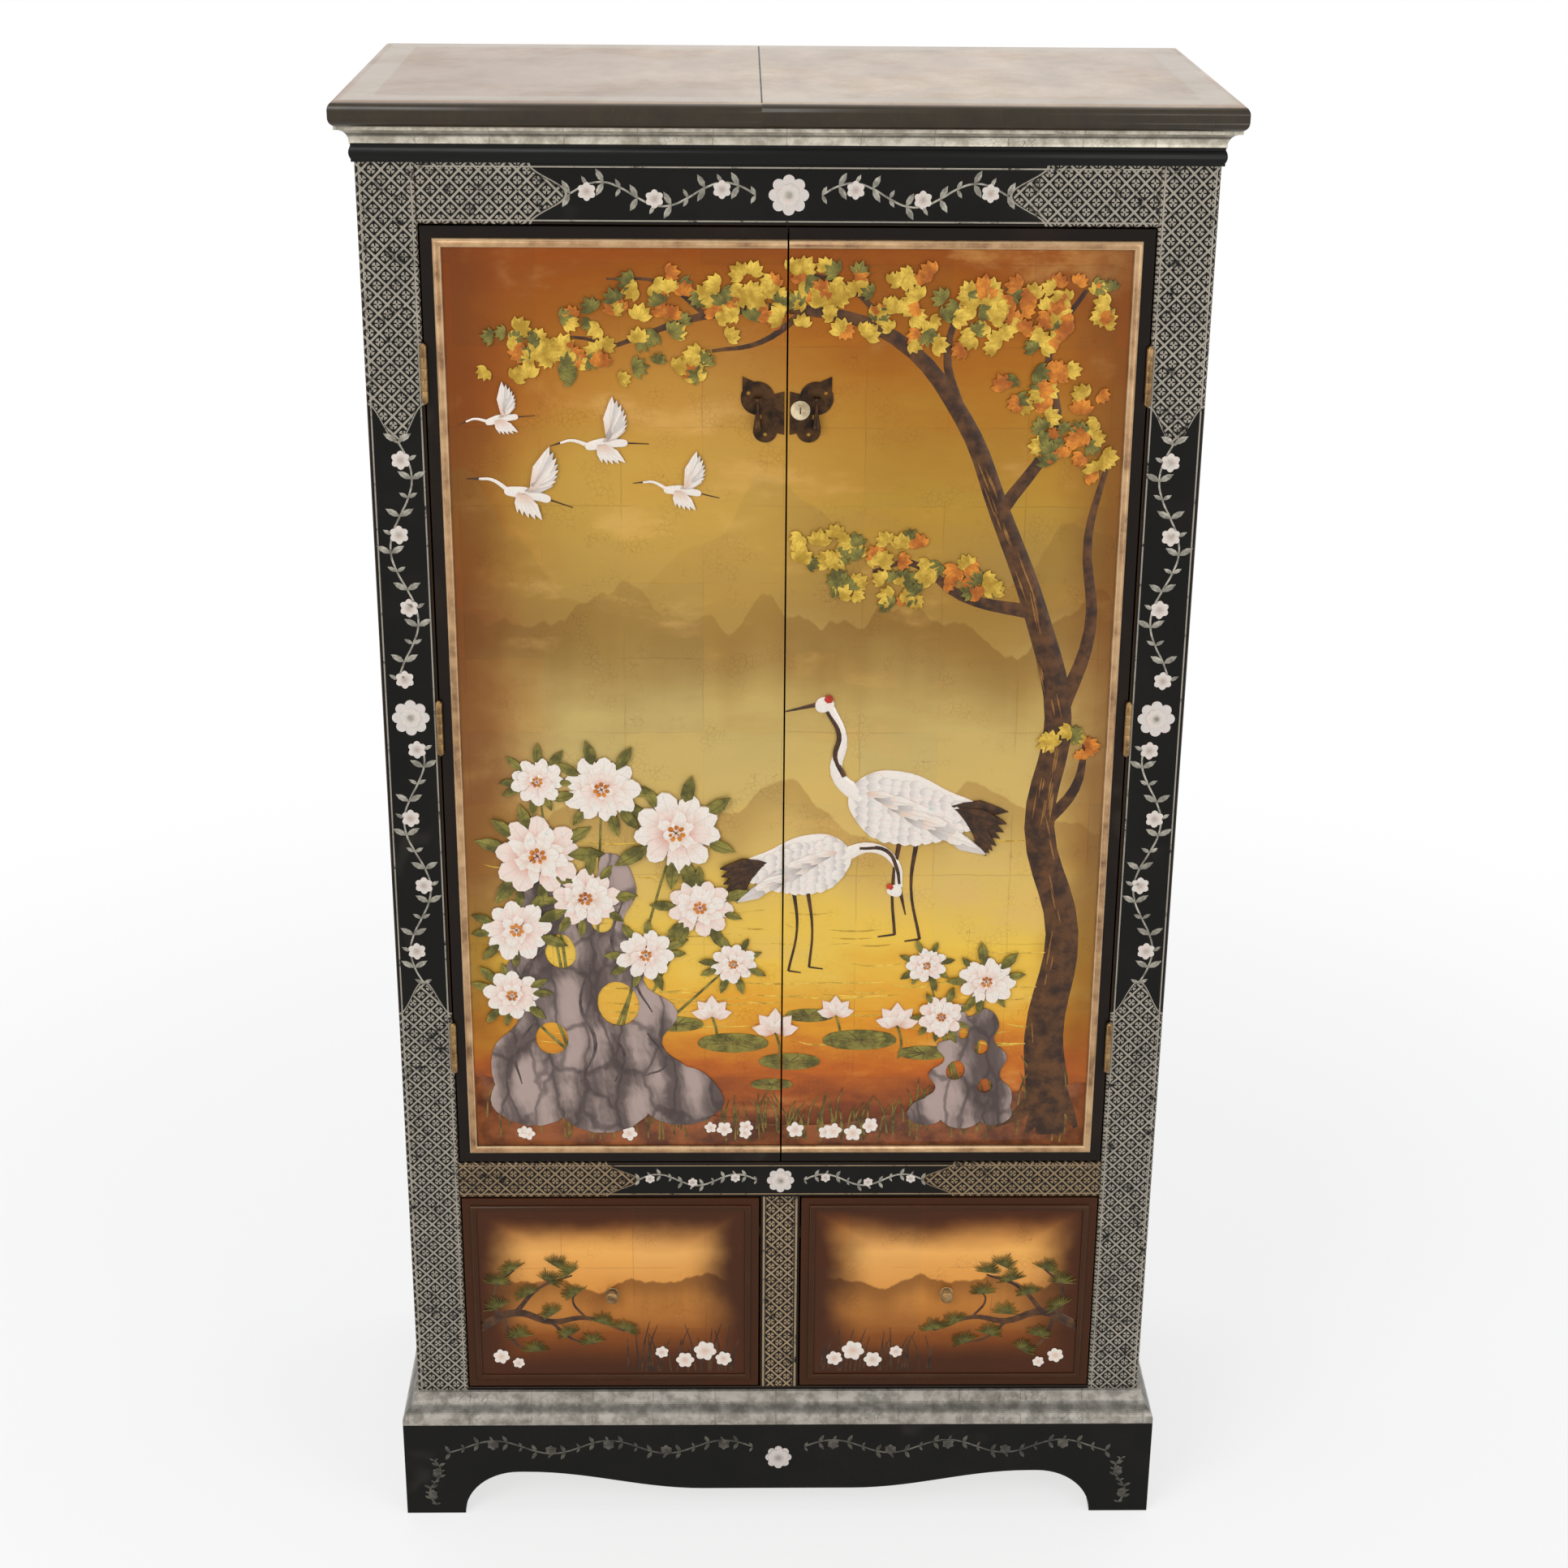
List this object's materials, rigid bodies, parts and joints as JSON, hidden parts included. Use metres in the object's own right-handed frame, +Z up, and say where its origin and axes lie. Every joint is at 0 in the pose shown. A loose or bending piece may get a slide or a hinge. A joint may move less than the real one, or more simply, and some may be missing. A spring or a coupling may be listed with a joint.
{
  "type": "wardrobe",
  "caption": "Black-lacquer wardrobe with hinged gold-leaf picture doors over side-by-side drawers, moulded cornice, hanging rail, hat shelf and scalloped bracket-foot plinth.",
  "frame": {"origin": "on the floor, under the middle of the top boards", "axes": "+Z up, the doors and drawers face -Y, +X to the right as seen from the front"},
  "size_m": [0.984, 0.5, 1.83],
  "materials": {
    "black_lacquer": "gloss black lacquer with silver ornament",
    "pale_lacquer": "satin beige lacquer with dark rounded edges",
    "silver_lacquer": "aged silver leaf over black lacquer",
    "gold_picture": "painted gold leaf under satin lacquer",
    "gilt": "dull gilt",
    "dark_wood": "dark stain, satin",
    "drawer_wood": "plain unfinished wood",
    "brass": "aged brass",
    "bronze": "dark antique bronze patina",
    "steel": "nickel-plated",
    "mother_of_pearl": "polished shell"
  },
  "bodies": {
    "carcass": {"top_board_left": "pale_lacquer", "top_board_right": "pale_lacquer", "cornice_front": "silver_lacquer", "cornice_sides": "silver_lacquer", "side_panel_left": "black_lacquer", "side_panel_right": "black_lacquer", "stile_left": "black_lacquer", "stile_right": "black_lacquer", "frieze_rail": "black_lacquer", "middle_rail": "black_lacquer", "bottom_rail": "black_lacquer", "drawer_muntin": "black_lacquer", "back_panel": "dark_wood", "wardrobe_floor": "dark_wood", "base_board": "drawer_wood", "drawer_partition": "drawer_wood", "drawer_runners": "drawer_wood", "hat_shelf": "dark_wood", "shelf_cleats": "dark_wood", "hanging_rail": "brass", "rail_sockets": "brass", "door_stop": "dark_wood", "base_moulding_front": "silver_lacquer", "base_moulding_sides": "silver_lacquer", "plinth_front": "black_lacquer", "plinth_left": "black_lacquer", "plinth_right": "black_lacquer", "plinth_back": "dark_wood", "plinth_blocks": "drawer_wood", "rosettes": "mother_of_pearl", "hinge_frame_leaves": "brass", "hinge_pins": "brass"},
    "door_left_body": {"door_left": "black_lacquer", "door_left_picture": "gold_picture", "door_left_bead": "gilt", "hinge_door_leaves_left": "brass", "pull_plate_left": "bronze", "bolt_guides": "brass"},
    "door_right_body": {"door_right": "black_lacquer", "door_right_picture": "gold_picture", "door_right_bead": "gilt", "hinge_door_leaves_right": "brass", "pull_plate_right": "bronze", "lock_barrel": "steel"},
    "pendant_left_body": {"pull_pendant_left": "bronze"},
    "pendant_right_body": {"pull_pendant_right": "bronze"},
    "lock_body": {"lock_plug": "steel"},
    "bolt_body": {"bolt_rod": "brass"},
    "drawer_left_body": {"drawer_left_front": "gold_picture", "drawer_left_bead": "gilt", "drawer_left_sides": "drawer_wood", "drawer_left_back": "drawer_wood", "drawer_left_bottom": "drawer_wood", "drawer_left_knob": "brass"},
    "drawer_right_body": {"drawer_right_front": "gold_picture", "drawer_right_bead": "gilt", "drawer_right_sides": "drawer_wood", "drawer_right_back": "drawer_wood", "drawer_right_bottom": "drawer_wood", "drawer_right_knob": "brass"}
  },
  "joints": [
    {"name": "door_left_hinge", "type": "hinge", "parent": "carcass", "child": "door_left_body", "pos_m": [-0.404, -0.2246, 1.1075], "axis": [0, 0, -1], "range_deg": [0, 165]},
    {"name": "door_right_hinge", "type": "hinge", "parent": "carcass", "child": "door_right_body", "pos_m": [0.404, -0.2246, 1.1075], "axis": [0, 0, 1], "range_deg": [0, 165]},
    {"name": "pendant_left_swing", "type": "hinge", "parent": "door_left_body", "child": "pendant_left_body", "pos_m": [-0.033, -0.2271, 1.5015], "axis": [-1, 0, 0], "range_deg": [0, 85]},
    {"name": "pendant_right_swing", "type": "hinge", "parent": "door_right_body", "child": "pendant_right_body", "pos_m": [0.033, -0.2271, 1.5015], "axis": [-1, 0, 0], "range_deg": [0, 85]},
    {"name": "lock_turn", "type": "hinge", "parent": "door_right_body", "child": "lock_body", "pos_m": [0.015, -0.2236, 1.4895], "axis": [0, 1, 0], "range_deg": [0, 90]},
    {"name": "bolt_slide", "type": "slide", "parent": "door_left_body", "child": "bolt_body", "axis": [0, 0, 1], "range_m": [0, 0.012]},
    {"name": "drawer_left_slide", "type": "slide", "parent": "carcass", "child": "drawer_left_body", "axis": [0, -1, 0], "range_m": [0, 0.3]},
    {"name": "drawer_right_slide", "type": "slide", "parent": "carcass", "child": "drawer_right_body", "axis": [0, -1, 0], "range_m": [0, 0.3]}
  ]
}
